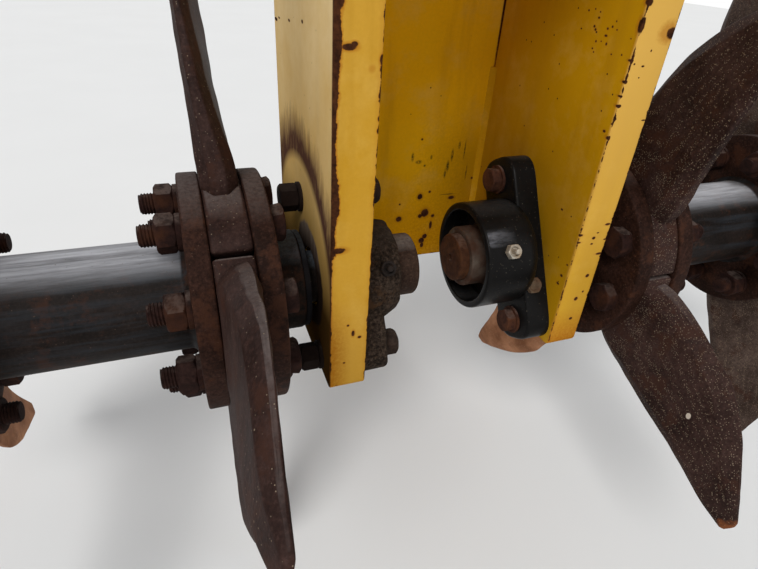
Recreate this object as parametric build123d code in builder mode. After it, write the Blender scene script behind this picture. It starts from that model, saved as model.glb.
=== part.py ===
"""Centre hanger of a soil aerator with the tined rotor that it carries on each side.

Millimetres, +Z up, +X to the right, +Y to the rear. The origin is the centre of the
hanger's top face, where the hanger bolts up under the machine's frame.
"""
import os
from math import cos, radians, sin

from build123d import *

os.makedirs("parts", exist_ok=True)

# Hanger, welded from plate
plate_gap = 214.0  # between the two side plates
plate_t = 35.0  # side plate
plate_depth = 213.0  # front edge to rear edge
plate_below_axis = 85.0
plate_corner_r = 8.0
back_t = 10.0
back_below_axis = 72.0
axis_drop = 420.0  # shaft axis below the hanger's top face
axis_back = 75.0  # shaft axis behind the plates' front edge
top_length = 420.0
top_depth = 300.0
top_t = 30.0
top_corner_r = 20.0
mount_x = 340.0
mount_y = 220.0
mount_hole_d = 27.0

# Two-bolt flange bearings, one inside each side plate
shaft_d = 50.8
bearing_bolt_spacing = 157.0
bar_length = 203.0
bar_width = 62.0
bar_t = 27.0
bar_end_r = 20.0
bearing_lean = 30.0  # the bar's long axis, from upright
neck_d = 56.0  # opening through the bar
race_od = 90.0
race_id = 72.0
race_w = 24.0
race_seat_left = 15.0  # from the side plate's inner face, as the next sizes are
race_seat_right = 32.0
house_left_d = 104.0
house_left_h = 43.0
house_right_d = 115.0
house_right_h = 82.0
rim_right_d = 100.0  # opening inside the right housing's rim
collar_d = 64.0
collar_left_h = 69.0
collar_right_h = 86.0
shaft_left_end = 66.0
shaft_right_end = 96.0
running_fit = 0.05  # radial, between the race and the turning inner ring
shaft_hole_d = 58.0  # through the side plate

# Bearing bolts: through bolts on the left, screwed into the plate on the right
bearing_bolt_d = 15.9
bearing_bolt_hole_d = 17.5
tapped_hole_d = 16.0
tapped_depth = 32.0
bearing_bolt_af = 23.8
bearing_bolt_head_t = 9.9
bearing_washer_d = 29.0  # outside the left plate
bearing_washer_t = 3.5
head_washer_d = 31.0  # under the right bolts' heads
head_washer_t = 3.0
bearing_nut_t = 17.5
bearing_nut_outer_t = 17.5
bearing_bolt_end = 2.0  # thread standing past the inner nut

# Fittings screwed into the bearings
nipple_left_x = 27.0  # from the side plate's inner face
nipple_right_x = 55.0
nipple_af = 14.0
nipple_h = 12.0
nipple_thread_d = 8.0
plug_x = 17.5  # from the side plate's inner face
plug_along = -40.0  # from the shaft axis, down the bar
plug_af = 16.0
plug_h = 6.0
plug_thread_d = 10.0
fitting_depth = 4.0

# Rotors
flange_gap_left = 41.7  # side plate's outer face to the rotor's first flange
flange_gap_right = 22.6
flange_d = 216.0
flange_t = 18.0
tine_t = 33.0  # tine foot between two flanges
station_pitch = 254.0
tube_d = 101.6
tube_wall = 9.5
hub_d = 96.0
guard_left_gap = 9.0  # side plate to the turning guard
guard_right_gap = 6.0
guard_left_d = 94.0
guard_right_d = 119.0
guard_left_t = 5.5
guard_right_t = 5.0
bolt_circle_d = 166.0
tine_bolt_d = 19.05
tine_bolt_hole_d = 21.0
tine_bolt_af = 28.6
tine_bolt_head_t = 11.9
tine_nut_t = 20.0  # nut on its spring washer
tine_bolt_end = 13.0
outer_stub_l = 60.0  # hub beyond the last flange
outer_shaft_l = 90.0  # bare shaft beyond that hub

# Tines, four to a station, each foot a quarter of a ring
foot_inner_d = 104.0
foot_inset = 1.5  # foot's rim below the flanges' rims
foot_gap = 4.0  # between neighbouring feet
tip_r = 322.0
tip_lag = 36.0  # tip's angle past the foot's lower joint
tip_angles = {"left_1": 80.0, "left_2": 35.0, "right_1": 31.0, "right_2": 69.0}
root_depth = 25.0  # blade's root inside the foot's rim
root_low = -52.0  # edges and faces of the root, as in the sections below
root_high = 40.0
root_left = -16.0
root_right = 14.0
# distance from the axis, lower edge, upper edge, left face and right face, all as shares
# of the tip's radius, then the twist and the left face's bevel as shares of the blade's
# width and thickness
blade_sections = [
    (0.335, -0.1988, 0.1366, -0.0506, 0.0435, -0.4, 0.14, 0.40),
    (0.388, -0.2096, 0.1304, -0.0522, 0.0404, -1.7, 0.14, 0.38),
    (0.466, -0.2174, 0.1118, -0.0497, 0.0245, -4.4, 0.12, 0.36),
    (0.559, -0.2205, 0.0901, -0.0516, 0.0068, -6.7, 0.12, 0.36),
    (0.637, -0.2205, 0.0730, -0.0537, -0.0025, -8.6, 0.16, 0.42),
    (0.776, -0.1739, 0.0435, -0.0590, -0.0186, -11.7, 0.24, 0.45),
    (0.916, -0.0870, 0.0311, -0.0559, -0.0217, -14.7, 0.25, 0.40),
    (1.000, -0.0280, 0.0202, -0.0357, -0.0186, -16.5, 0.20, 0.30),
]
bevel_low = 0.15  # right face's bevel at the lower edge, a share of the width
bevel_high = 0.12  # both faces' bevel at the upper edge
bevel_right = 0.20  # bevels' depth, as shares of the thickness
bevel_top = 0.30
low_skew = 0.03  # lower edge's left corner set back, a share of the width

axis_y = axis_back - plate_depth / 2
axis_z = -axis_drop
shaft_axis = Axis((0, axis_y, axis_z), (1, 0, 0))
shaft_plane = Plane(origin=(0, axis_y, axis_z), x_dir=(1, 0, 0), z_dir=(0, -1, 0))
sides = {"left": -1, "right": 1}
lean_sin = sin(radians(bearing_lean))
lean_cos = cos(radians(bearing_lean))
inner_face = plate_gap / 2
outer_face = inner_face + plate_t
first_flange = {"left": outer_face + flange_gap_left, "right": outer_face + flange_gap_right}
shaft_end = {"left": inner_face - shaft_left_end, "right": inner_face - shaft_right_end}
station_x = {
    side: [first_flange[side] + flange_t + tine_t / 2 + i * station_pitch for i in range(2)]
    for side in sides
}
stub_x = {side: station_x[side][1] + tine_t / 2 + flange_t for side in sides}


def save(piece, label):
    """Name a finished piece and write it."""
    piece.part.label = label
    export_step(piece.part, f"parts/{label}.step")


def turned(outline, side):
    """A piece turned about the shaft axis, from (distance outward, radius) corners."""
    with BuildPart() as piece:
        with BuildSketch(shaft_plane):
            with BuildLine():
                Polyline([(sides[side] * x, r) for x, r in outline], close=True)
            make_face()
        revolve(axis=shaft_axis)
    return piece


def ring(side, x, width, inner_d, outer_d):
    """A plain ring about the shaft axis, from x outward by its width."""
    ends = (x, x + width)
    corners = [(ends[0], inner_d / 2), (ends[0], outer_d / 2)]
    corners += [(ends[1], outer_d / 2), (ends[1], inner_d / 2)]
    return turned(corners, side)


def facing(side, x):
    """Plane square to the shaft at x, facing the hanger's middle, its x up the bearing's bar."""
    return Plane(
        origin=(sides[side] * x, axis_y, axis_z),
        x_dir=(0, lean_sin, lean_cos),
        z_dir=(-sides[side], 0, 0),
    )


def flank(side, x, along, out):
    """Plane on a bearing's front flank, its X along the shaft and its Z square to the bar."""
    y = axis_y + along * lean_sin - out * lean_cos
    z = axis_z + along * lean_cos + out * lean_sin
    return Plane(
        origin=(sides[side] * (inner_face - x), y, z), x_dir=(1, 0, 0), z_dir=(0, -lean_cos, lean_sin)
    )


# Side plates, with the shaft's hole and the bearing's two bolt holes
plate_hole_d = {"left": bearing_bolt_hole_d, "right": tapped_hole_d}
for side in sides:
    with BuildPart() as side_plate:
        with BuildSketch(Plane.YZ.offset(sides[side] * inner_face)):
            with Locations((0, -top_t)):
                Rectangle(
                    plate_depth,
                    axis_drop + plate_below_axis - top_t,
                    align=(Align.CENTER, Align.MAX),
                )
        extrude(amount=sides[side] * plate_t)
        fillet(side_plate.edges().filter_by(Axis.X).group_by(Axis.Z)[0], plate_corner_r)
        with BuildSketch(facing(side, inner_face)):
            Circle(shaft_hole_d / 2)
            with GridLocations(bearing_bolt_spacing, 0, 2, 1):
                Circle(plate_hole_d[side] / 2)
        extrude(amount=-plate_t, mode=Mode.SUBTRACT)
    save(side_plate, f"side_plate_{side}")

# Back plate, between the side plates and flush with their rear edges
with BuildPart() as back_plate:
    with BuildSketch(Plane.XZ.offset(-plate_depth / 2)):
        with Locations((0, -top_t)):
            Rectangle(
                plate_gap,
                axis_drop + back_below_axis - top_t,
                align=(Align.CENTER, Align.MAX),
            )
    extrude(amount=back_t)
save(back_plate, "back_plate")

# Top plate, drilled for the bolts that hold the hanger under the frame
with BuildPart() as top_plate:
    with BuildSketch():
        RectangleRounded(top_length, top_depth, top_corner_r)
        with GridLocations(mount_x, mount_y, 2, 2):
            Circle(mount_hole_d / 2, mode=Mode.SUBTRACT)
    extrude(amount=-top_t)
save(top_plate, "top_plate")

# Bearing housings: bar flange, round housing and a bore for the race. The left one's
# round part starts at the plate, the right one's on the bar.
house_d = {"left": house_left_d, "right": house_right_d}
house_from = {"left": 0.0, "right": bar_t}
house_h = {"left": house_left_h, "right": house_right_h}
race_seat = {"left": race_seat_left, "right": race_seat_right}
mouth_d = {"left": race_od, "right": rim_right_d}
nipple_seat = {
    "left": flank("left", nipple_left_x, 0, house_left_d / 2),
    "right": flank("right", nipple_right_x, 0, house_right_d / 2),
}
plug_seat = flank("right", plug_x, plug_along, bar_width / 2)
for side in sides:
    with BuildPart() as housing:
        with BuildSketch(facing(side, inner_face)):
            RectangleRounded(bar_length, bar_width, bar_end_r)
        extrude(amount=bar_t)
        with BuildSketch(facing(side, inner_face - house_from[side])):
            Circle(house_d[side] / 2)
        extrude(amount=house_h[side] - house_from[side])
        with BuildSketch(facing(side, inner_face)):
            with GridLocations(bearing_bolt_spacing, 0, 2, 1):
                Circle(bearing_bolt_hole_d / 2)
        extrude(amount=bar_t, mode=Mode.SUBTRACT)
        with BuildSketch(facing(side, inner_face)):
            Circle(neck_d / 2)
        extrude(amount=race_seat[side], mode=Mode.SUBTRACT)
        with BuildSketch(facing(side, inner_face - race_seat[side])):
            Circle(race_od / 2)
        extrude(amount=race_w, mode=Mode.SUBTRACT)
        with BuildSketch(facing(side, inner_face - race_seat[side] - race_w)):
            Circle(mouth_d[side] / 2)
        extrude(amount=house_h[side] - race_seat[side] - race_w, mode=Mode.SUBTRACT)
        with BuildSketch(nipple_seat[side]):
            Circle(nipple_thread_d / 2)
        extrude(amount=-fitting_depth, mode=Mode.SUBTRACT)
        if side == "right":
            with BuildSketch(plug_seat):
                Circle(plug_thread_d / 2)
            extrude(amount=-fitting_depth, mode=Mode.SUBTRACT)
    save(housing, f"bearing_housing_{side}")

# Outer races, seated in the housings, and the inner rings with their locking collars,
# which turn with the shaft
collar_end = {"left": inner_face - collar_left_h, "right": inner_face - collar_right_h}
for side in sides:
    race_x = inner_face - race_seat[side]
    save(ring(side, race_x, -race_w, race_id, race_od), f"bearing_race_{side}")
    collar = turned(
        [
            (race_x, shaft_d / 2),
            (race_x, race_id / 2 - running_fit),
            (race_x - race_w, race_id / 2 - running_fit),
            (race_x - race_w, collar_d / 2),
            (collar_end[side], collar_d / 2),
            (collar_end[side], shaft_d / 2),
        ],
        side,
    )
    save(collar, f"bearing_collar_{side}")


def screwed_in(seat, thread_d, af, height):
    """A hexagon on a threaded shank, screwed in at its seat."""
    with BuildPart() as fitting:
        with BuildSketch(seat):
            Circle(thread_d / 2)
        extrude(amount=-fitting_depth)
        with BuildSketch(seat):
            RegularPolygon(af / 2, 6, major_radius=False)
        extrude(amount=height)
    return fitting


# Grease nipples in the housings' front flanks, and a plug in the right bar's edge
for side in sides:
    nipple = screwed_in(nipple_seat[side], nipple_thread_d, nipple_af, nipple_h)
    save(nipple, f"grease_nipple_{side}")
save(screwed_in(plug_seat, plug_thread_d, plug_af, plug_h), "bearing_plug_right")


def bolt(diameter, length, steps):
    """A bolt along +Z from its shank's foot, with (start, length, shape) pieces on it."""
    with BuildPart() as one:
        with BuildSketch():
            Circle(diameter / 2)
        extrude(amount=length)
        for start, height, shape in steps:
            with BuildSketch(Plane.XY.offset(start)):
                add(shape)
            extrude(amount=height)
    return one


def hexagon(af):
    """A hexagon of that size across its flats."""
    with BuildSketch() as shape:
        RegularPolygon(af / 2, 6, major_radius=False)
    return shape.sketch


def washer(diameter):
    """A washer's round outline."""
    with BuildSketch() as shape:
        Circle(diameter / 2)
    return shape.sketch


# Bearing bolts, two to a bearing. The left ones start inside and end in a heavy nut on
# a washer outside; the right ones have their heads inside, each on a washer, and end in
# the plate.
inner_end = bearing_nut_t + bearing_bolt_end
head_end = bearing_bolt_head_t + head_washer_t
washer_start = inner_end + bar_t + plate_t
bearing_bolt = {
    "left": bolt(
        bearing_bolt_d,
        washer_start + bearing_washer_t + bearing_nut_outer_t,
        [
            (bearing_bolt_end, bearing_nut_t, hexagon(bearing_bolt_af)),
            (washer_start, bearing_washer_t, washer(bearing_washer_d)),
            (washer_start + bearing_washer_t, bearing_nut_outer_t, hexagon(bearing_bolt_af)),
        ],
    ),
    "right": bolt(
        bearing_bolt_d,
        head_end + bar_t + tapped_depth,
        [
            (0, bearing_bolt_head_t, hexagon(bearing_bolt_af)),
            (bearing_bolt_head_t, head_washer_t, washer(head_washer_d)),
        ],
    ),
}
bearing_bolt_start = {
    "left": inner_face - bar_t - inner_end,
    "right": inner_face - bar_t - head_end,
}
for side in sides:
    with BuildPart() as bearing_bolts:
        for end in (-1, 1):
            reach = end * bearing_bolt_spacing / 2
            seat = Plane(
                origin=(
                    sides[side] * bearing_bolt_start[side],
                    axis_y + reach * lean_sin,
                    axis_z + reach * lean_cos,
                ),
                x_dir=(0, 0, 1),
                z_dir=(sides[side], 0, 0),
            )
            with Locations(seat):
                add(bearing_bolt[side].part)
    save(bearing_bolts, f"bearing_bolts_{side}")


# A station's eight bolts, two to a foot and evenly spaced
bolt_pitch = 360.0 / 8


def first_bolt_angle(side, station):
    """Angle of a station's first tine bolt, half a pitch past a foot's joint."""
    return tip_angles[f"{side}_{station}"] - tip_lag + bolt_pitch / 2


# Rotor flanges, two at each station with the tines' feet between them; the two that
# carry the tube are open inside it
for side in sides:
    with BuildPart() as flanges:
        for station in (1, 2):
            for step in (-1, 1):
                x = station_x[side][station - 1] + step * (tine_t + flange_t) / 2
                towards_tube = (station == 1) == (step == 1)
                disc = Plane(
                    origin=(sides[side] * (x - flange_t / 2), axis_y, axis_z),
                    x_dir=(0, 1, 0),
                    z_dir=(1, 0, 0),
                )
                with BuildSketch(disc):
                    Circle(flange_d / 2)
                    if towards_tube:
                        Circle(tube_d / 2 - tube_wall, mode=Mode.SUBTRACT)
                    with PolarLocations(
                        bolt_circle_d / 2, 8, start_angle=first_bolt_angle(side, station)
                    ):
                        Circle(tine_bolt_hole_d / 2, mode=Mode.SUBTRACT)
                extrude(amount=sides[side] * flange_t)
    save(flanges, f"rotor_flanges_{side}")

# Tubes between the two stations, stubs at both ends and the guards by the side plates
guard_gap = {"left": guard_left_gap, "right": guard_right_gap}
guard_d = {"left": guard_left_d, "right": guard_right_d}
guard_t = {"left": guard_left_t, "right": guard_right_t}
for side in sides:
    tube_x = station_x[side][0] + tine_t / 2 + flange_t
    tube_l = station_pitch - tine_t - 2 * flange_t
    save(ring(side, tube_x, tube_l, tube_d - 2 * tube_wall, tube_d), f"rotor_tube_{side}")
    guard_x = outer_face + guard_gap[side]
    save(ring(side, guard_x, guard_t[side], shaft_d, guard_d[side]), f"wrap_guard_{side}")
    inner_stub = turned(
        [
            (shaft_end[side], 0),
            (shaft_end[side], shaft_d / 2),
            (guard_x + guard_t[side], shaft_d / 2),
            (guard_x + guard_t[side], hub_d / 2),
            (first_flange[side], hub_d / 2),
            (first_flange[side], 0),
        ],
        side,
    )
    save(inner_stub, f"inner_stub_{side}")
    outer_stub = turned(
        [
            (stub_x[side], 0),
            (stub_x[side], hub_d / 2),
            (stub_x[side] + outer_stub_l, hub_d / 2),
            (stub_x[side] + outer_stub_l, shaft_d / 2),
            (stub_x[side] + outer_stub_l + outer_shaft_l, shaft_d / 2),
            (stub_x[side] + outer_stub_l + outer_shaft_l, 0),
        ],
        side,
    )
    save(outer_stub, f"outer_stub_{side}")

# Tine bolts, eight to a station: the nuts face the tube, so both its ends show threads
tine_grip = tine_t + 2 * flange_t
tine_bolt = bolt(
    tine_bolt_d,
    tine_bolt_head_t + tine_grip + tine_nut_t + tine_bolt_end,
    [
        (0, tine_bolt_head_t, hexagon(tine_bolt_af)),
        (tine_bolt_head_t + tine_grip, tine_nut_t, hexagon(tine_bolt_af)),
    ],
)
for side in sides:
    for station, outward in ((1, 1), (2, -1)):
        x = station_x[side][station - 1] - outward * (tine_grip / 2 + tine_bolt_head_t)
        with BuildPart() as tine_bolts:
            for i in range(8):
                angle = radians(first_bolt_angle(side, station) + bolt_pitch * i)
                y = axis_y + bolt_circle_d / 2 * cos(angle)
                z = axis_z + bolt_circle_d / 2 * sin(angle)
                seat = Plane(
                    origin=(sides[side] * x, y, z),
                    x_dir=(0, cos(angle), sin(angle)),
                    z_dir=(sides[side] * outward, 0, 0),
                )
                with Locations(seat):
                    add(tine_bolt.part)
        save(tine_bolts, f"tine_bolts_{side}_{station}")


def blade_outline(low, high, left, right, share_wide, share_thick):
    """Eight corners of a blade's section, bevelled at both edges."""
    width = high - low
    thick = right - left
    near_high = high - bevel_high * width
    return [
        (near_high, right),
        (low + bevel_low * width, right),
        (low, right - bevel_right * thick),
        (low + low_skew * width, left + share_thick * thick),
        (low + share_wide * width, left),
        (near_high, left),
        (high, left + bevel_top * thick),
        (high, right - bevel_top * thick),
    ]


# Tine, one casting for all stations, drawn with its tip along +Y from the shaft axis
foot_r = flange_d / 2 - foot_inset
root = (root_low, root_high, root_left, root_right)
first_bevel = blade_sections[0][-2:]
blade_rows = [(foot_r - root_depth, root, 0.0, first_bevel)]
for reach, low, high, left, right, twist, wide, deep in blade_sections:
    edges = (low * tip_r, high * tip_r, left * tip_r, right * tip_r)
    blade_rows.append((reach * tip_r, edges, twist, (wide, deep)))
foot_plane = Plane.YZ.offset(-tine_t / 2)
lag = Rotation(0, 0, -tip_lag)
with BuildPart() as tine_pattern:
    with BuildSketch(foot_plane):
        Circle(foot_r)
        Circle(foot_inner_d / 2, mode=Mode.SUBTRACT)
        with Locations(lag):
            Rectangle(flange_d, flange_d, align=(Align.MIN, Align.MIN), mode=Mode.INTERSECT)
    extrude(amount=tine_t)
    for r, edges, twist, bevel in blade_rows:
        with BuildSketch(Plane(origin=(0, r, 0), x_dir=(0, 0, 1), z_dir=(0, 1, 0))):
            with Locations(Location((0, 0), twist)):
                Polygon(*blade_outline(*edges, *bevel), align=None)
    loft(ruled=True)
    # half of the joint's gap comes off either end of the foot
    with BuildSketch(foot_plane):
        with Locations(lag):
            with Locations((0, foot_gap / 2)):
                Rectangle(2 * flange_d, flange_d, align=(Align.MIN, Align.MAX))
            with Locations((foot_gap / 2, 0)):
                Rectangle(flange_d, foot_r, align=(Align.MAX, Align.MIN))
    extrude(amount=tine_t, mode=Mode.SUBTRACT)
    with BuildSketch(foot_plane):
        with Locations(lag):
            with PolarLocations(
                bolt_circle_d / 2, 2, start_angle=bolt_pitch / 2, angular_range=2 * bolt_pitch
            ):
                Circle(tine_bolt_hole_d / 2)
    extrude(amount=tine_t, mode=Mode.SUBTRACT)

for side in sides:
    for station in (1, 2):
        x = sides[side] * station_x[side][station - 1]
        for i in range(4):
            turn = tip_angles[f"{side}_{station}"] + 90 * i
            with BuildPart() as tine:
                with Locations(Location((x, axis_y, axis_z), (turn, 0, 0))):
                    add(tine_pattern.part)
            save(tine, f"tine_{side}_{station}_{i + 1}")
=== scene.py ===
"""Soil aerator's centre hanger with its two tined rotors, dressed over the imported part.

Metres, +Z up, +X to the right, +Y to the rear, the origin on the hanger's top face.
"""

from math import cos, pi, radians, sin

import bmesh
import bpy
import numpy as np
from mathutils import Matrix, Vector


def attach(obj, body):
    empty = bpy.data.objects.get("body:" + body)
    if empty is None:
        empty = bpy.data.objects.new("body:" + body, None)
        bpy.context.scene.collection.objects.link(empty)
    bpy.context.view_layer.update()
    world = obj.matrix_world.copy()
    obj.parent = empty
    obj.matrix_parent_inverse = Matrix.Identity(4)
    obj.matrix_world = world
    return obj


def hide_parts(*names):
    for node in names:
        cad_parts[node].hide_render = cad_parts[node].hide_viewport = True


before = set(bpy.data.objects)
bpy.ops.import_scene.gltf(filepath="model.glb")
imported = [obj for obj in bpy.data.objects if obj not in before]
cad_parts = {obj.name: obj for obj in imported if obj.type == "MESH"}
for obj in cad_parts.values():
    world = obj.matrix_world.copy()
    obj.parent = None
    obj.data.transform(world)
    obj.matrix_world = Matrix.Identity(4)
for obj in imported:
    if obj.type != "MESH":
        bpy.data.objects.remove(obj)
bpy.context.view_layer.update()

# Camera, where the photograph was taken from: near the left rotor's end, above the
# shaft and looking down between the hanger's two side plates.
def linked(name, data):
    """A new object in the scene."""
    made = bpy.data.objects.new(name, data)
    bpy.context.scene.collection.objects.link(made)
    return made


camera = linked("camera", bpy.data.cameras.new("camera"))
camera.data.sensor_width = 36.0
camera.data.lens = 25.07
camera.data.clip_start = 0.02
across, up, back = (0.94, -0.335, 0.057), (0.137, 0.528, 0.838), (-0.311, -0.78, 0.542)
stand = (-0.2418, -0.4658, -0.1401)
camera.matrix_world = Matrix([*zip(across, up, back, stand), (0, 0, 0, 1)])
bpy.context.scene.camera = camera


# Light: an even pale sky, white where the camera and shiny surfaces see it, with one broad
# soft lamp high in front on the left.
def put(kind, sockets, tree=None, **settings):
    """A new shader node with its settings, each socket linked or given its value. It goes into
    the tree of the sockets it is linked to, unless another is given."""
    if tree is None:
        tree = next(v.id_data for v in sockets.values() if isinstance(v, bpy.types.NodeSocket))
    made = tree.nodes.new("ShaderNode" + kind)
    for name, value in settings.items():
        setattr(made, name, value)
    for name, value in sockets.items():
        if isinstance(value, bpy.types.NodeSocket):
            tree.links.new(value, made.inputs[name])
        else:
            made.inputs[name].default_value = value
    return made


def maths(operation, a, b=0, c=0):
    """One sum on numbers and sockets, one socket at least."""
    return put("Math", {0: a, 1: b, 2: c}, operation=operation).outputs[0]


bpy.context.scene.view_settings.view_transform = "Standard"
sky = bpy.data.worlds.new("sky")
bpy.context.scene.world = sky
sky.use_nodes = True
sky.node_tree.nodes.clear()
ray = put("LightPath", {}, sky.node_tree).outputs
seen = maths("MAXIMUM", ray["Is Camera Ray"], ray["Is Glossy Ray"])
seen = maths("MAXIMUM", seen, ray["Is Transmission Ray"])
dim = put("Background", {"Color": (0.93, 0.96, 1.0, 1), "Strength": 0.62}, sky.node_tree)
white = put("Background", {"Color": (1, 1, 1, 1), "Strength": 1.0}, sky.node_tree)
either = put("MixShader", {0: seen, 1: dim.outputs[0], 2: white.outputs[0]})
put("OutputWorld", {"Surface": either.outputs[0]})
lamp = linked("lamp", bpy.data.lights.new("lamp", "SUN"))
lamp.data.energy = 1.7
lamp.data.angle = radians(24)
lamp.matrix_world = Vector((-0.55, -0.75, 1.0)).to_track_quat("Z", "Y").to_matrix().to_4x4()


# Floor: plain and pale, just under the lowest tine's tip. It isn't part of the object, which
# hangs from the machine by its top plate.
def new_material(name, roughness, metallic=0, specular=0.5):
    """A material with its shader and its Object coordinates."""
    made = bpy.data.materials.new(name)
    made.use_nodes = True
    shader = made.node_tree.nodes["Principled BSDF"]
    shader.inputs["Roughness"].default_value = roughness
    shader.inputs["Metallic"].default_value = metallic
    shader.inputs["Specular IOR Level"].default_value = specular
    return made, shader, made.node_tree.nodes.new("ShaderNodeTexCoord").outputs["Object"]


def feed(shader, name, value):
    """The value linked to the shader's socket of that name."""
    shader.id_data.links.new(value, shader.inputs[name])


def times(first, *others):
    """Sockets and numbers multiplied from left to right."""
    for other in others:
        first = maths("MULTIPLY", first, other)
    return first


def ramp(value, low, high, to_low=0, to_high=1.0):
    """The value from low to high spread over to_low to to_high, and held there."""
    ends = {"From Min": low, "From Max": high, "To Min": to_low, "To Max": to_high}
    return put("MapRange", {"Value": value, **ends}, clamp=True).outputs["Result"]


def blend(share, first, second):
    """Two colours mixed by a share."""
    pair = [v if isinstance(v, bpy.types.NodeSocket) else (*v, 1.0) for v in (first, second)]
    return put("Mix", {0: share, 6: pair[0], 7: pair[1]}, data_type="RGBA").outputs[2]


def noise(where, scale, detail=3.0, rough=0.55, stretch=(1, 1, 1), shift=(0, 0, 0)):
    """Cloudy noise from 0 to 1, stretched along an axis if asked."""
    moved = put("Mapping", {"Vector": where, "Location": shift, "Scale": stretch}).outputs[0]
    sockets = {"Vector": moved, "Scale": scale, "Detail": detail, "Roughness": rough}
    return put("TexNoise", sockets).outputs["Fac"]


def specks(where, scale, size, share):
    """Small round specks: 1 inside a speck, in the given share of a Voronoi pattern's cells."""
    cells = put("TexVoronoi", {"Vector": where, "Scale": scale}, voronoi_dimensions="3D").outputs
    chosen = put("SeparateColor", {0: cells["Color"]}).outputs[0]
    inside = ramp(cells["Distance"], size, size * 0.55)
    return times(inside, maths("LESS_THAN", chosen, share))


def bump(shader, height, strength, distance, under=None):
    """Relief of that height on the shader's normal, over an earlier relief if given."""
    sockets = {"Height": height, "Strength": strength, "Distance": distance}
    if under:
        sockets["Normal"] = under
    relief = put("Bump", sockets).outputs[0]
    feed(shader, "Normal", relief)
    return relief


floor_z = -0.757
floor_mesh = bpy.data.meshes.new("floor")
floor_corners = [(x, y, floor_z) for x, y in ((-9, -9), (9, -9), (9, 9), (-9, 9))]
floor_mesh.from_pydata(floor_corners, [], [(0, 1, 2, 3)])
floor = linked("floor", floor_mesh)
floor_finish, floor_shader, floor_here = new_material("pale_floor", 0.9, specular=0.2)
floor_tone = blend(noise(floor_here, 3.0), (0.8, 0.79, 0.77), (0.84, 0.83, 0.81))
feed(floor_shader, "Base Color", floor_tone)
floor_mesh.materials.append(floor_finish)


# Side plates: two cuts of 35 mm plate with flame-cut edges, painted yellow and left out
# to rust. Each is open round the shaft; the bearing's flange covers the hole.
axis_y = -0.0315
axis_z = -0.42
sides = {"left": -1, "right": 1}
plate_in = 0.107
plate_out = 0.142
plate_front = -0.1065
plate_rear = 0.1065
plate_low = axis_z - 0.085
plate_high = -0.03
plate_ease = 0.0012
hole_r = 0.029


def four(low_u, high_u, low_v, high_v):
    """A rectangle's corners, in the order low v, high v, high v, low v."""
    return np.array([(low_u, low_v), (low_u, high_v), (high_u, high_v), (high_u, low_v)])


def eased(corners, setbacks, closed=False, steps=5):
    """A polyline with each corner replaced by a parabola that starts its setback away on both
    runs: (1-t)^2 A + 2t(1-t) P + t^2 B."""
    corners = np.asarray(corners, float)
    count = len(corners)
    setbacks = np.broadcast_to(np.asarray(setbacks, float), count)
    t = np.linspace(0, 1, steps)[:, None]
    line = []
    for i, (p, setback) in enumerate(zip(corners, setbacks)):
        if setback <= 0 or (not closed and i in (0, count - 1)):
            line.append(p[None])
            continue
        to_a, to_b = corners[i - 1] - p, corners[(i + 1) % count] - p
        a = p + to_a * min(setback / np.linalg.norm(to_a), 0.49)
        b = p + to_b * min(setback / np.linalg.norm(to_b), 0.49)
        line.append((1 - t) ** 2 * a + 2 * t * (1 - t) * p + t**2 * b)
    return np.vstack(line)


def rounding(ease, steps=5):
    """Pairs of inset and rise along an edge rounded by the ease: ease (1 - sin t), ease (1 - cos
    t). The first pair is at the face and the last at the flank."""
    return [(ease * (1 - sin(t)), ease * (1 - cos(t))) for t in np.linspace(0, pi / 2, steps)]


def refined(line, gap, closed=False):
    """The same polyline with points added so that none is further apart than the gap."""
    ends = np.vstack([line[1:], line[:1]]) if closed else line[1:]
    starts = line if closed else line[:-1]
    pieces = []
    for a, b in zip(starts, ends):
        count = max(1, int(np.ceil(np.linalg.norm(b - a) / gap)))
        pieces.append(a + (b - a) * (np.arange(count) / count)[:, None])
    if not closed:
        pieces.append(line[-1:])
    return np.vstack(pieces)


def skin(points, rows_closed=False, columns_closed=True):
    """A shell over a grid of points [row, column, xyz]. Doubled points at poles and seams merge
    and its faces are turned outward."""
    index = np.arange(points.shape[0] * points.shape[1]).reshape(points.shape[:2])
    if rows_closed:
        index = np.vstack([index, index[:1]])
    if columns_closed:
        index = np.hstack([index, index[:, :1]])
    quads = np.stack([index[:-1, :-1], index[1:, :-1], index[1:, 1:], index[:-1, 1:]], axis=-1)
    mesh = bpy.data.meshes.new("shell")
    mesh.from_pydata(points.reshape(-1, 3).tolist(), [], quads.reshape(-1, 4).tolist())
    shell = bmesh.new()
    shell.from_mesh(mesh)
    bmesh.ops.remove_doubles(shell, verts=shell.verts, dist=1e-6)
    bmesh.ops.dissolve_degenerate(shell, edges=shell.edges, dist=1e-7)
    bmesh.ops.recalc_face_normals(shell, faces=shell.faces)
    shell.to_mesh(mesh)
    shell.free()
    return mesh


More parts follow.
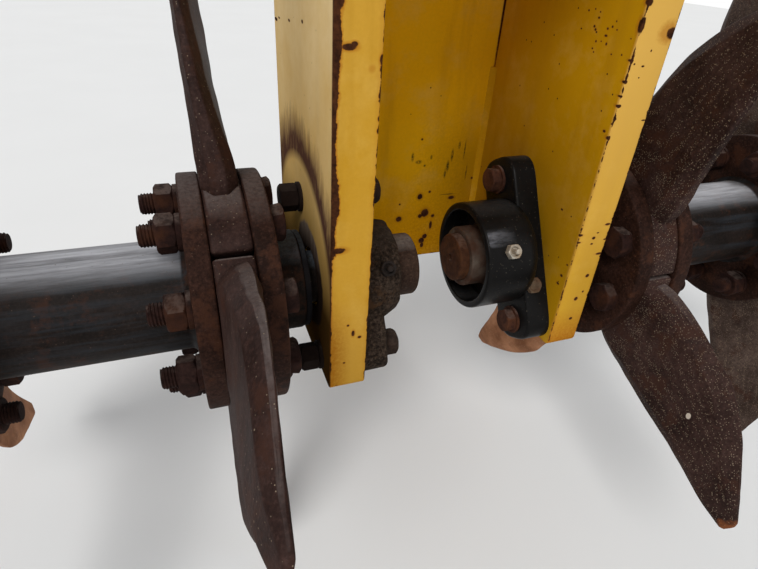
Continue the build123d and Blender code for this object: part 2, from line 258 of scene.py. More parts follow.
def dress(node, form, shells, body, slot, finish, sharp=32):
    """One piece from its shells, named for its form, riding on a body in place of its node."""
    joined = bmesh.new()
    for shell in shells:
        joined.from_mesh(shell)
    mesh = bpy.data.meshes.new(f"{node}_{form}")
    joined.to_mesh(mesh)
    joined.free()
    mesh.shade_smooth()
    mesh.set_sharp_from_angle(angle=radians(sharp))
    mesh.materials.append(finish)
    made = linked(f"{node}_{form}", mesh)
    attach(made, body)
    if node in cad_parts:
        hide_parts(node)


def plate(low, high):
    """A side plate as a ring-shaped skin: its outline in Y and Z is drawn in towards the hole's
    circle for the faces at low and high X, and both rims are rounded."""
    corners = four(plate_front, plate_rear, plate_high, plate_low)
    outline = refined(eased(corners, [0, 0.008, 0.008, 0], closed=True), 0.006, closed=True)
    angle = np.arctan2(outline[:, 1] - axis_z, outline[:, 0] - axis_y)
    rim = (axis_y, axis_z) + hole_r * np.stack([np.cos(angle), np.sin(angle)], axis=-1)
    run = outline - rim
    length = np.linalg.norm(run, axis=1)[:, None]
    edge = rounding(plate_ease)
    rows = [(rim + run * (inset / length), low + rise) for inset, rise in edge[::-1]]
    rows += [(rim + run * share, low) for share in (0.25, 0.6, 0.85, 0.95)]
    rows += [(outline - run * (inset / length), low + rise) for inset, rise in edge]
    rows += [(p, low + high - x) for p, x in rows[::-1]]
    grid = np.array([np.column_stack([np.full(len(p), x), p]) for p, x in rows])
    return skin(grid, rows_closed=True)


def blots(here, marks, ragged, wobble=0.55):
    """The least distance to any of the marks, each (x, y, z, and its reach along X, Y and Z),
    counted in reaches and made ragged by the noise: a mark's rim is at 1."""
    least = None
    for mark in marks:
        scale = [1 / reach for reach in mark[3:]]
        shift = [-at * s for at, s in zip(mark, scale)]
        near = put("Mapping", {"Vector": here, "Location": shift, "Scale": scale}).outputs[0]
        far = put("VectorMath", {0: near}, operation="LENGTH").outputs["Value"]
        least = far if least is None else maths("MINIMUM", least, far)
    return maths("ADD", least, maths("MULTIPLY_ADD", ragged, wobble, -wobble / 2))


def on_face(axis, at, rows, deep=0.004):
    """Marks on a flat face square to X (axis 0) or Y (axis 1), from rows in millimetres: place
    along the face, height, reach along the face and reach in height."""
    marks = []
    for u, z, wide, tall in rows:
        flat = [(at, deep), (u / 1000, wide / 1000)]
        if axis == 1:
            flat.reverse()
        (x, x_reach), (y, y_reach) = flat
        marks.append((x, y, z / 1000, x_reach, y_reach, tall / 1000))
    return marks


fair_yellow = (0.585, 0.3, 0.013), (0.65, 0.352, 0.03)


def yellow(name, box, chips, marks=(), wear=None, tones=fair_yellow):
    """Yellow paint over plate that fills the box: sun-faded patches, streaks of dirt, chips that
    grow in from the box's edges, small specks, and rust through it at the marks. Chips are where
    the distance to the nearest edge is less than a ragged noise times their reach. The marks have
    no relief, which would be too much for the shader."""
    finish, shader, here = new_material(name, 0.5, specular=0)
    at = put("SeparateXYZ", {0: here}).outputs
    gaps = []
    for place, (low, high) in zip(at, box):
        inside = maths("SUBTRACT", place, low), maths("SUBTRACT", high, place)
        gaps.append(maths("ABSOLUTE", maths("MINIMUM", *inside)))
    lesser, greater = maths("MINIMUM", *gaps[:2]), maths("MAXIMUM", *gaps[:2])
    edge = maths("MAXIMUM", lesser, maths("MINIMUM", greater, gaps[2]))
    ragged = noise(here, 95, 5, 0.62)
    fine = noise(here, 330, 4, 0.65)
    chipped = maths("SUBTRACT", times(ramp(ragged, 0.44, 0.74), chips), edge)
    raised = maths("MAXIMUM", ramp(chipped, -0.0002, 0.0003), specks(here, 140, 0.15, 0.022))
    rusted, halo = raised, ramp(chipped, -0.004, 0, 0, 0.35)
    if marks:
        far = blots(here, marks, fine)
        rusted = maths("MAXIMUM", rusted, ramp(far, 1.12, 0.88))
        halo = maths("MAXIMUM", halo, ramp(far, 1.9, 1.0, 0, 0.75))
    fade = noise(here, 7, 4, 0.6)
    patch = noise(here, 24, 5, 0.65, shift=(4, 2, 1))
    streak = noise(here, 30, 4, 0.6, stretch=(1, 1, 0.12))
    paint = blend(ramp(fade, 0.35, 0.7), *tones)
    paint = blend(ramp(patch, 0.5, 0.68, 0, 0.3), paint, (0.72, 0.45, 0.1))
    paint = blend(ramp(streak, 0.52, 0.78, 0, 0.45), paint, (0.38, 0.18, 0.01))
    paint = blend(ramp(fine, 0.3, 0.7, 0, 0.16), paint, (0.42, 0.205, 0.015))
    faint = times(specks(here, 52, 0.2, 0.06), 0.45)
    paint = blend(maths("MAXIMUM", faint, halo), paint, (0.42, 0.15, 0.012))
    if wear:
        paint, rusted = wear(here, at, paint, rusted, fine)
    brown = ramp(noise(here, 160, 4, 0.7), 0.35, 0.7)
    rust = blend(brown, (0.026, 0.0105, 0.0065), (0.09, 0.032, 0.013))
    feed(shader, "Base Color", blend(rusted, paint, rust))
    feed(shader, "Roughness", ramp(rusted, 0, 1, 0.46, 0.85))
    grain = bump(shader, noise(here, 420, 3, 0.6), 0.1, 0.0006)
    bump(shader, maths("SUBTRACT", times(ragged, 0.2), raised), 0.5, 0.0005, grain)
    return finish


def front_face(at):
    """1 on a side plate's front face and 0 behind it."""
    return ramp(at[1], plate_front + 0.0006, plate_front + 0.003, 1.0, 0)


def from_line(at, y, z):
    """The distance from the line along X through that Y and Z."""
    flat = put("CombineXYZ", {1: at[1], 2: at[2]}).outputs[0]
    return put("VectorMath", {0: flat, 1: (0, y, z)}, operation="DISTANCE").outputs["Value"]


def left_wear(here, at, paint, rusted, fine):
    """The left plate: a rust border down the front face's left edge; on the outer face, paler
    towards the top, a rubbed purple-brown arc, a bare ring about the shaft whose lower part is
    painted shade, and dirt with painted shade low down; orange stain low on the front."""
    front = front_face(at)
    outside = ramp(at[0], -plate_out + 0.0002, -plate_out + 0.001, 1.0, 0)
    from_edge = maths("ADD", at[0], plate_out)
    slow = noise(here, 42, 4, 0.65)
    widened = ramp(at[2], -0.232, -0.212, 0, 0.0022)
    reach = maths("ADD", ramp(slow, 0.32, 0.7, 0.0008, 0.0046), widened)
    from_bulge = maths("ABSOLUTE", maths("ADD", at[2], 0.306))
    reach = maths("ADD", reach, ramp(from_bulge, 0.024, 0.01, 0, 0.002))
    reach = maths("MULTIPLY_ADD", fine, 0.0022, reach)
    stop = maths("MULTIPLY_ADD", fine, 0.008, at[2])
    reach = times(reach, ramp(stop, -0.356, -0.352, 0.16, 1.0))
    within = maths("SUBTRACT", reach, from_edge)
    border = times(ramp(within, -0.0001, 0.0004), front)
    fringe = times(ramp(within, -0.0016, 0, 0, 0.7), front)
    paint = blend(fringe, paint, (0.4, 0.13, 0.012))
    cloudy = ramp(noise(here, 16, 5, 0.65), 0.25, 0.6, 0.6, 1.0)
    # The outer face is paler towards the top.
    paler_higher = times(ramp(at[2], -0.4, -0.12, 0.2, 0.92), cloudy, outside)
    paint = blend(paler_higher, paint, (0.88, 0.69, 0.39))
    streaky = noise(here, 60, 6, 0.72, stretch=(1, 1, 0.22))
    arc = from_line(at, 0.003, -0.428)
    outer_rim = ramp(maths("MULTIPLY_ADD", streaky, 0.07, arc), 0.196, 0.166)
    rubbed = times(ramp(arc, 0.109, 0.12), outer_rim, ramp(streaky, 0.28, 0.46, 0.55, 0.96))
    paint = blend(times(rubbed, outside), paint, (0.08, 0.032, 0.027))
    # Darker low down on the outer face, by the rotor: dirt, with painted shade.
    low_dirt_and_shade = times(ramp(at[2], -0.34, -0.43, 0, 0.96), outside)
    paint = blend(low_dirt_and_shade, paint, (0.05, 0.021, 0.005))
    lower = times(ramp(at[2], -0.37, -0.46, 0, 0.3), front)
    paint = blend(lower, paint, (0.34, 0.17, 0.03))
    hub = maths("MULTIPLY_ADD", slow, 0.012, from_line(at, -0.027, -0.419))
    scraped_and_shaded = blend(ramp(streaky, 0.36, 0.62), (0.15, 0.1, 0.075), (0.34, 0.26, 0.2))
    # The ring's lower part is painted shade, near black.
    scraped_and_shaded = blend(ramp(at[2], -0.362, -0.398), scraped_and_shaded, (0.026, 0.016, 0.012))
    paint = blend(times(ramp(hub, 0.0605, 0.0565), outside), paint, scraped_and_shaded)
    stain = times(ramp(from_edge, 0.02, 0.003), ramp(at[2], -0.4, -0.45), front)
    stain = times(stain, ramp(fine, 0.3, 0.6, 0.5, 1.0))
    return blend(stain, paint, (0.36, 0.135, 0.01)), maths("MAXIMUM", rusted, border)


def right_wear(here, at, paint, rusted, fine):
    """The right plate: its front face is paler towards the top and stained orange low down, and
    its inner face is darker about the bearing, soil with painted shade."""
    front = front_face(at)
    pale = times(ramp(at[2], -0.42, -0.2, 0.25, 0.8), front)
    paint = blend(pale, paint, (0.8, 0.47, 0.11))
    # Darker about the bearing: soil, with painted shade.
    near = maths("MULTIPLY_ADD", fine, 0.05, from_line(at, 0, -0.4))
    soil_and_shade = times(ramp(near, 0.2, 0.1), ramp(at[0], 0.109, 0.108), 0.55)
    paint = blend(soil_and_shade, paint, (0.2, 0.09, 0.004))
    rusty_spot = on_face(1, plate_front, [(136.0, -187.0, 9.0, 8.0)])
    bloom = ramp(blots(here, rusty_spot, fine, 0.9), 1.35, 0.65)
    low = times(ramp(at[2], -0.455, -0.497), ramp(fine, 0.3, 0.6, 0.55, 1.0))
    orange = times(maths("MAXIMUM", times(bloom, 0.6), low), front)
    return blend(orange, paint, (0.44, 0.155, 0.012)), rusted


left_front = on_face(1, plate_front, [
    (-131, -198.5, 5, 2.2), (-127.3, -196.6, 2.4, 1.6), (-136.5, -351.5, 6.5, 2.6),
    (-107.2, -206.5, 1.9, 3.6), (-107.2, -212.8, 1.5, 1.8), (-107.2, -230.2, 1.5, 2.4),
    (-107.2, -246.2, 1.2, 1.9), (-107.2, -255, 1.4, 2.2), (-107, -273, 1, 2.2), (-107, -360, 1, 5),
    (-107, -372, 0.9, 4), (-107, -392, 0.9, 3), (-125.7, -429.4, 1.2, 1.1),
    (-120.7, -439.4, 1.5, 3.2), (-114.4, -444.8, 1.7, 1.4), (-128.5, -472.9, 1.1, 1.0),
    (-124, -506, 18, 1.4),
])
right_front = on_face(1, plate_front, [
    (139.4, -187.5, 4.9, 4.2), (107.4, -182.4, 2.3, 6), (108.4, -166.3, 2.8, 2.6),
    (107.5, -208.3, 1.6, 1.2), (111, -210.8, 1, 0.8), (120.4, -212.5, 1.5, 0.8),
    (107.8, -224.8, 1.5, 1.6), (107.5, -236.3, 1.2, 1.1), (108.2, -244.2, 2.2, 1.5),
    (107.6, -271.5, 1.2, 2), (124.1, -200.7, 0.8, 1), (119.8, -221.4, 0.8, 0.6),
    (140, -257.1, 2.5, 0.7), (137.5, -358.1, 3.3, 1.3), (128.6, -366.4, 1.4, 0.7),
    (125.3, -371.8, 2, 1.6), (125, -378.4, 1.6, 1), (138.5, -391.1, 4.4, 1.3),
    (132.4, -416.7, 2.1, 2), (133.3, -436.6, 1.2, 1.2), (126.8, -444.7, 2.2, 2.3),
    (128.1, -470.9, 2, 1.7), (140.1, -374.9, 2, 0.9), (124, -506, 18, 1.6),
])
left_outer = on_face(0, -plate_out, [
    (98, -207, 7, 1.6), (82, -204, 4, 0.9), (35.4, -200.5, 4, 1.2), (-16, -195, 3, 1.4),
])
right_inner = on_face(0, plate_in, [
    (-41, -179, 1, 0.8), (-49, -177, 0.8, 0.6), (-56, -178.5, 0.8, 0.6), (-56, -183, 1.2, 0.9),
    (-53, -190, 1.2, 1), (-55.3, -192.2, 1.2, 1), (-57.3, -194, 1, 0.7), (-70, -189.6, 1.2, 0.9),
    (-75, -187.5, 1, 0.9), (-81, -189, 0.8, 0.6), (-78, -183, 0.7, 0.7), (-36.7, -194, 0.9, 0.7),
    (-70, -195, 1.7, 0.9), (-66, -200, 0.8, 0.5), (-59.6, -201, 1, 0.9), (-73, -201, 1, 1.1),
    (-57.4, -207, 1, 0.7), (-60, -209.5, 0.8, 0.6), (-82, -207.6, 0.9, 0.6), (-94, -206, 0.8, 0.7),
    (-99, -193, 0.8, 0.5), (-99, -267.4, 1.7, 1.2), (-106.4, -367, 1.6, 1.4),
    (-107, -375, 1.6, 1.2), (-101.4, -403, 1.3, 0.9), (-97.6, -418, 1.8, 1.4),
    (-95.6, -428.7, 2, 1.1), (-73, -354.5, 1.6, 1), (96, -140, 1.2, 110),
])
left_tones = (0.575, 0.3, 0.024), (0.64, 0.352, 0.05)
right_tones = (0.54, 0.278, 0.002), (0.6, 0.32, 0.007)
side_looks = {
    "left": (left_front + left_outer, left_wear, left_tones),
    "right": (right_front + right_inner, right_wear, right_tones),
}
for side, way in sides.items():
    ends = sorted((way * plate_in, way * plate_out))
    box = (ends, (plate_front, plate_rear), (plate_low, plate_high + 0.05))  # its top is welded
    finish = yellow(f"yellow_{side}_plate", box, 0.0026, *side_looks[side])
    dress(f"side_plate_{side}", "cut", [plate(*ends)], "hanger", "yellow_paint", finish)


# Back plate: 10 mm sheet set between the side plates at their rear edges. Its paint is
# spotted where rust has come through and scuffed dark in the middle.
def capped(points):
    """The skin of a grid that is closed at both ends, its first and last rows drawn in to their
    middles."""
    first = np.repeat(points[:1].mean(axis=1, keepdims=True), points.shape[1], axis=1)
    last = np.repeat(points[-1:].mean(axis=1, keepdims=True), points.shape[1], axis=1)
    return skin(np.concatenate([first, points, last]))


def slab(low, high, ease):
    """A box with rounded edges as rows of rounded rectangles in X and Z that shrink over Y."""
    (x0, y0, z0), (x1, y1, z1) = low, high
    insets = [(inset, y0 + rise) for inset, rise in rounding(ease, 4)]
    insets += [(inset, y0 + y1 - y) for inset, y in insets[::-1]]
    rows = []
    for inset, y in insets:
        corners = four(z0 + inset, z1 - inset, x0 + inset, x1 - inset)[:, ::-1]
        line = refined(eased(corners, ease, closed=True, steps=3), 0.05, closed=True)
        rows.append(np.column_stack([line[:, 0], np.full(len(line), y), line[:, 1]]))
    return capped(np.array(rows))


back_front = plate_rear - 0.01
scuffs = on_face(1, back_front, [
    (14.7, -353.7, 1.7, 4.9), (23.2, -360.4, 3.8, 2.2), (31.7, -365.5, 1.5, 1.4),
    (39.5, -355.3, 1.3, 2.5), (63.3, -368.6, 2.0, 7), (60.7, -377.6, 1.4, 5.6),
    (67.7, -354.4, 1.6, 7.2), (75.9, -342.5, 1.5, 4.3), (84.1, -348.3, 0.8, 10.8),
    (90.6, -378, 0.8, 9.5), (67.7, -406.2, 10.2, 0.7),
])


def back_wear(here, at, paint, rusted, fine):
    """The back plate: browner towards its lower edge, with dark scuffs across its middle."""
    low = times(ramp(at[2], -0.37, -0.47, 0, 0.85), ramp(fine, 0.3, 0.65, 0.6, 1.0))
    paint = blend(low, paint, (0.4, 0.155, 0.002))
    # Browner in the corner by the right plate, low down: dirt, with painted shade.
    corner_dirt_and_shade = ramp(maths("MULTIPLY_ADD", fine, 0.05, at[0]), 0.045, 0.115, 0, 0.5)
    corner_dirt_and_shade = times(corner_dirt_and_shade, ramp(at[2], -0.28, -0.36))
    paint = blend(corner_dirt_and_shade, paint, (0.2, 0.095, 0.003))
    scuffed = ramp(blots(here, scuffs, fine, 1.3), 1.4, 0.6)
    dark = times(scuffed, ramp(fine, 0.36, 0.56, 0.25, 0.95))
    return blend(dark, paint, (0.05, 0.038, 0.008)), rusted


back_marks = on_face(1, back_front, [
    (29.7, -406.2, 3.3, 3.7), (39, -429.6, 5.2, 5.6), (32.6, -433.4, 2.8, 2.8),
    (50.9, -434.9, 2.3, 2.2), (3.1, -434.8, 3.9, 3.5), (49.4, -448.1, 1.9, 5.5),
    (42.5, -464, 3.4, 3.5), (38.6, -469.9, 4, 4.2), (39.8, -476.9, 2.4, 3.5),
    (42.7, -400.7, 1.6, 1.5), (2.9, -414.2, 1.2, 1.2), (24.8, -332.5, 1.2, 1.2),
    (101, -386.6, 2, 1.6), (74.5, -411.3, 4, 2.2), (106.4, -140, 1.1, 110),
])
back_low = (-plate_in, back_front, axis_z - 0.072)
back_high = (plate_in, plate_rear, plate_high)
back_box = ((-0.2, 0.2), (back_low[1], plate_rear), (back_low[2], 0.1))
back_tones = (0.78, 0.385, 0.003), (0.83, 0.43, 0.007)
back_finish = yellow("yellow_back_plate", back_box, 0.002, back_marks, back_wear, back_tones)
back_shells = [slab(back_low, back_high, 0.0008)]
dress("back_plate", "sheet", back_shells, "hanger", "yellow_paint", back_finish)

# Top plate: 30 mm plate, drilled, above the photograph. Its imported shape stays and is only
# painted like the rest of the hanger.
top_box = ((-0.21, 0.21), (-0.15, 0.15), (plate_high, 0))
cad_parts["top_plate"].material_slots[0].material = yellow("yellow_top_plate", top_box, 0.004)


# Welds: fillets that join the back plate and the top plate to the side plates, laid by hand
# in short ripples and painted over with the rest.
def bead(start, end, first, second, leg, seed, ripple=0.0045, hollow=0.85, sunk=-0.0004):
    """A fillet weld from start to end in the corner between two directions: its face is the arc
    leg * (1 - hollow sin s) first + leg * (1 - hollow cos s) second, with a ripple along its run
    and its root sunk into the corner."""
    start, end, first, second = (np.array(v, float) for v in (start, end, first, second))
    length = np.linalg.norm(end - start)
    run = (end - start) / length
    count = int(length / 0.0011)
    along = np.linspace(0, length, count)[:, None]
    slow = np.random.default_rng(seed).normal(0, 0.05, count)
    slow = np.convolve(slow, np.ones(9) / 9, mode="same")[:, None]
    size = leg * (1 + slow + 0.045 * np.sin(2 * pi * along / ripple + 0.5))
    s = np.linspace(0, pi / 2, 7)[None]
    a, b = size * (1 - hollow * np.sin(s)), size * (1 - hollow * np.cos(s))
    a[:, -1:], b[:, :1] = sunk, sunk
    root = np.full((count, 1), sunk)
    a, b = np.hstack([root, a]), np.hstack([root, b])
    return capped(start + along[..., None] * run + a[..., None] * first + b[..., None] * second)


inner_leg, top_leg = 0.0058, 0.0085
inner_run = axis_z - 0.069, -0.252  # above it the corner is left open
shells = []
for side, way in sides.items():
    corner = [(way * plate_in, back_front, z) for z in inner_run]
    shells.append(bead(*corner, (-way, 0, 0), (0, -1, 0), inner_leg, 3))
    for x, outward in ((plate_out, 1), (plate_in, -1)):
        corner = [(way * x, y, plate_high) for y in (plate_front + 0.004, back_front - 0.004)]
        shells.append(bead(*corner, (way * outward, 0, 0), (0, 0, -1), top_leg, 4))
    corner = [(way * x, plate_rear, plate_high) for x in (plate_in + 0.004, plate_out - 0.002)]
    shells.append(bead(*corner, (0, 1, 0), (0, 0, -1), top_leg, 5))
weld_tones = (0.5, 0.245, 0.004), (0.56, 0.285, 0.009)
no_edges = [(-9, 9)] * 3
weld_finish = yellow("yellow_welds", no_edges, 0.002, tones=weld_tones)
dress("hanger", "welds", shells, "hanger", "yellow_paint", weld_finish, sharp=60)

# Bearing housings: black-painted cast iron on the right, and on the left the same two-bolt
# unit gone brown and grey. A bar with rounded ends carries the round housing.
lean = radians(30)
bar_up = np.array([sin(lean), cos(lean)])
bar_out = np.array([-cos(lean), sin(lean)])
bar_thick = 0.027


def on_bar(side, along, out, deep):
    """Points from distances along the bar, out of its front flank and in from the side plate."""
    along, out, deep = np.broadcast_arrays(along, out, deep)
    y = axis_y + along * bar_up[0] + out * bar_out[0]
    z = axis_z + along * bar_up[1] + out * bar_out[1]
    return np.stack([sides[side] * (plate_in - deep), y, z], axis=-1)


def around(x, r, y=0, z=0):
    """A grid of circles about the line along X through y, z: (x, y + r cos a, z + r sin a), with
    a column for each angle a, from an x for each row and an r for each point."""
    a = np.linspace(0, 2 * pi, r.shape[1], endpoint=False)
    return np.stack(np.broadcast_arrays(x, y + r * np.cos(a), z + r * np.sin(a)), axis=-1)


def turned(corners, setbacks, way, start=0, gap=None, steps=96, closed=True):
    """A skin turned about the shaft from the corners (x, r) of its profile, eased by the setbacks
    and refined to the gap. X is counted from the start, that way."""
    profile = eased(corners, setbacks, closed)
    profile[:, 0] = start + way * profile[:, 0]
    if gap:
        profile = refined(profile, gap, closed)
    x, r = profile[:, :1], np.repeat(profile[:, 1:], steps, axis=1)
    return skin(around(x, r, axis_y, axis_z), rows_closed=closed)


def lumpy(mesh, height, length, seed):
    """The mesh with each point moved along its normal by the mean of twelve sine waves of about
    that length in random directions, as sand casting and scale leave it."""
    places = np.empty(len(mesh.vertices) * 3)
    normals = np.empty(len(mesh.vertices) * 3)
    mesh.vertices.foreach_get("co", places)
    mesh.vertices.foreach_get("normal", normals)
    places, normals = places.reshape(-1, 3), normals.reshape(-1, 3)
    draw = np.random.default_rng(seed)
    waves = draw.normal(size=(3, 12))
    waves *= 2 * pi / (length * draw.uniform(0.6, 1.6, 12) * np.linalg.norm(waves, axis=0))
    rise = np.sin(places @ waves + draw.uniform(0, 2 * pi, 12)).sum(axis=1) / 12**0.5
    mesh.vertices.foreach_set("co", (places + normals * (height * rise)[:, None]).ravel())
    mesh.update()
    return mesh


def bar_skin(side):
    """The bar as rows of its outline that shrink towards both faces, where its edges round off."""
    half_l, half_w, ease = 0.1015, 0.031, 0.0035
    corners = four(-half_w, half_w, -half_l, half_l)[:, ::-1]
    outline = refined(eased(corners, 0.026, closed=True, steps=9), 0.012, closed=True)
    rows = [on_bar(side, *outline.T, 0)]
    for inset, rise in rounding(ease):
        drawn_in = outline * (1 - rise / np.array([half_l, half_w]))
        rows.append(on_bar(side, *drawn_in.T, bar_thick - inset))
    return capped(np.array(rows))


def towards(here, direction):
    """How far the surface faces a direction, from -1 to 1, by its own coordinates' normal."""
    sockets = {0: here.node.outputs["Normal"], 1: direction}
    return put("VectorMath", sockets, operation="DOT_PRODUCT").outputs["Value"]


def cast(
    name, colors, rough, pits, dust_and_sheen, upward, flecks, specular, gritty=0,
    streaks=None, patches=None, glint=None, tip=None, spot=None,
):
    """Cast iron under old paint, in its dark and light colour, with flecks of grit in the third.
    What faces up by more than upward takes the fourth colour: a dusting, with a painted highlight
    where light falls from above. If asked, it has darker and lighter grains, dark streaks drawn
    out that way, patches of rust, a painted glint where it faces one way, fresh rust on the tips
    furthest from the shaft, and clay at a spot. Pits and grain are in relief."""
    finish, shader, here = new_material(name, rough, specular=specular)
    dark, light, fleck, bloom = colors
    cloud = noise(here, 22, 5, 0.6)
    blotch = noise(here, 75, 4, 0.65, shift=(1, 2, 3))
    fine = noise(here, 260, 4, 0.7)
    base = blend(ramp(cloud, 0.35, 0.68), dark, light)
    base = blend(ramp(blotch, 0.5, 0.72, 0, 0.5), base, dark)
    if gritty:
        grain = noise(here, 330, 5, 0.75, shift=(5, 1, 2))
        darker, lighter = [0.45 * channel for channel in dark], [2.1 * channel for channel in light]
        base = blend(ramp(grain, 0.5, 0.38, 0, gritty), base, darker)
        base = blend(ramp(grain, 0.53, 0.66, 0, 0.7 * gritty), base, lighter)
    if patches:
        patch = noise(here, 34, 6, 0.72, shift=(3, 1, 1))
        base = blend(ramp(patch, 0.53, 0.62, 0, 0.8), base, patches)
    # Faces turned up: a dusting, with a painted highlight.
    upward_dust_and_sheen = ramp(towards(here, (0, 0, 1)), upward, 1.0)
    if streaks:
        drawn = noise(here, 70, 6, 0.72, stretch=streaks)
        base = blend(ramp(drawn, 0.48, 0.66, 0, 0.7), base, (0.026, 0.03, 0.035))
        upward_dust_and_sheen = times(maths("POWER", upward_dust_and_sheen, 2.0), ramp(drawn, 0.34, 0.6, 0.3, 1.0))
    else:
        upward_dust_and_sheen = times(upward_dust_and_sheen, ramp(fine, 0.36, 0.6, 0.5, 1.0))
    if glint:
        # Painted highlight: a grey glint where the surface faces the glint's way.
        drawn = noise(here, 160, 5, 0.7, stretch=(0.25, 1, 1))
        rubbed = times(ramp(towards(here, glint), 0.984, 0.997), ramp(drawn, 0.38, 0.56, 0.2, 1.0))
        out = maths("ABSOLUTE", put("SeparateXYZ", {0: here}).outputs[0])
        base = blend(times(rubbed, ramp(out, 0.06, 0.034)), base, (0.11, 0.11, 0.12))
    base = blend(times(upward_dust_and_sheen, dust_and_sheen), base, bloom)
    grit = maths("MAXIMUM", specks(here, 760, 0.36, flecks), specks(here, 310, 0.2, flecks * 0.5))
    base = blend(times(grit, 0.6), base, fleck)
    if spot:
        base = blend(ramp(blots(here, spot, fine, 0.4), 1.1, 0.9), base, (0.52, 0.44, 0.36))
    if tip:
        far = from_line(put("SeparateXYZ", {0: here}).outputs, axis_y, axis_z)
        fresh = ramp(maths("MULTIPLY_ADD", blotch, 0.03, far), 0.33, 0.336, 0, 0.8)
        base = blend(fresh, base, tip)
    feed(shader, "Base Color", base)
    feed(shader, "Roughness", ramp(cloud, 0.3, 0.7, rough - 0.06, rough + 0.1))
    coarse = bump(shader, noise(here, 120, 5, 0.65), 0.35, 0.0012 * pits)
    bump(shader, fine, 0.4, 0.0006 * pits, coarse)
    return finish


# The right housing's glint is a painted highlight.
black_iron = cast(
    "black_housing_paint",
    [(0.0042, 0.0038, 0.0036), (0.0085, 0.008, 0.0078), (0.14, 0.12, 0.09), (0.05, 0.05, 0.05)],
    rough=0.32, pits=0.5, dust_and_sheen=0.4, upward=0.93, flecks=0.05, specular=0.07,
    glint=(0, -0.7, 0.714),
)
# Its grey on faces turned up is a dusting with a painted highlight.
brown_iron = cast(
    "brown_housing_iron",
    [(0.013, 0.0085, 0.006), (0.046, 0.031, 0.022), (0.1, 0.075, 0.05), (0.1, 0.08, 0.065)],
    rough=0.78, pits=1.9, dust_and_sheen=0.5, upward=0.7, flecks=0.08, specular=0.05, gritty=0.95,
    patches=(0.06, 0.03, 0.014),
)
housing_looks = {"left": ("weathered_housing", brown_iron), "right": ("black_housing", black_iron)}
housing_profiles = {
    "left": [
        (0, 0.03), (0, 0.052), (0.03, 0.052), (0.043, 0.047), (0.043, 0.0452),
        (0.039, 0.045), (0.015, 0.045), (0.015, 0.03),
    ],
    "right": [
        (0.022, 0.03), (0.022, 0.0535), (0.03, 0.0575), (0.0815, 0.0575), (0.0815, 0.05),
        (0.056, 0.0498), (0.056, 0.0455), (0.032, 0.0455), (0.032, 0.03),
    ],
}
housing_setbacks = {
    "left": [0, 0, 0.01, 0.003, 0.0005, 0, 0, 0],
    "right": [0, 0.002, 0.004, 0.0028, 0.0016, 0.001, 0, 0, 0],
}
for side, way in sides.items():
    profile = housing_profiles[side], housing_setbacks[side]
    shells = [bar_skin(side), turned(*profile, -way, way * plate_in, 0.004, 144)]
    if side == "left":
        shells = [lumpy(shells[0], 0.0005, 0.022, 8), lumpy(shells[1], 0.0007, 0.02, 9)]
    dress(f"bearing_housing_{side}", "cast", shells, "hanger", *housing_looks[side])


# Bearing races with their pressed seals, and the inner rings with locking collars: ground
# steel gone brown. The collars turn with the shaft.
def worn_steel(name, dark, light, rust, rough, metallic, rusty_from):
    """Bare steel under patchy rust, brushed round the shaft."""
    finish, shader, here = new_material(name, rough, metallic, specular=0.2)
    cloud = noise(here, 60, 5, 0.65)
    patch = noise(here, 25, 4, 0.6, shift=(1, 4, 2))
    rusty_to = rusty_from + 0.2
    base = blend(ramp(cloud, 0.35, 0.7), dark, light)
    feed(shader, "Base Color", blend(ramp(patch, rusty_from, rusty_to), base, rust))
    feed(shader, "Roughness", ramp(patch, rusty_from, rusty_to, rough - 0.1, rough + 0.3))
    rings = bump(shader, noise(here, 300, 2, 0.5, stretch=(3.0, 0.4, 0.4)), 0.12, 0.0004)
    bump(shader, noise(here, 240, 5, 0.7), 0.35, 0.0006, rings)
    return finish


ring_browns = (0.026, 0.017, 0.012), (0.12, 0.092, 0.07), (0.05, 0.022, 0.012)
ring_steel = worn_steel("ring_steel", *ring_browns, 0.66, 0.1, 0.44)
# Its pale faces turned up are a dusting with a painted highlight.
collar_rust = cast(
    "collar_rust",
    [(0.022, 0.011, 0.007), (0.056, 0.032, 0.021), (0.12, 0.09, 0.07), (0.22, 0.19, 0.17)],
    rough=0.7, pits=0.9, dust_and_sheen=0.75, upward=0.8, flecks=0.03, specular=0.08, gritty=0.5,
)
seal_black = cast(
    "seal_black",
    [(0.006, 0.005, 0.0045), (0.018, 0.013, 0.01), (0.05, 0.035, 0.02), (0.03, 0.02, 0.015)],
    rough=0.8, pits=0.6, dust_and_sheen=0.3, upward=0.6, flecks=0.05, specular=0.08,
)
bore_r, race_in, race_out, ring_r, collar_r = 0.0255, 0.0361, 0.0449, 0.0359, 0.032
seats = {"left": 0.015, "right": 0.032}
collar_ends = {"left": 0.069, "right": 0.086}
collar_looks = {"left": ("rusty_collar", collar_rust), "right": ("bearing_steel", ring_steel)}
for side, way in sides.items():
    seat, end = seats[side], collar_ends[side]
    corners = four(seat, seat + 0.024, race_in, race_out)
    shells = [turned(corners, 0.0008, -way, way * plate_in)]
    dress(f"bearing_race_{side}", "ring", shells, "hanger", "bearing_steel", seal_black)
    corners = [
        (seat, bore_r), (seat, ring_r), (seat + 0.0238, ring_r), (seat + 0.0242, collar_r),
        (end, collar_r), (end, bore_r),
    ]
    setbacks = [0, 0.0005, 0.0005, 0, 0.0022, 0.001]
    shells = [turned(corners, setbacks, -way, way * plate_in, 0.006)]
    dress(f"bearing_collar_{side}", "ring", shells, f"rotor_{side}", *collar_looks[side])


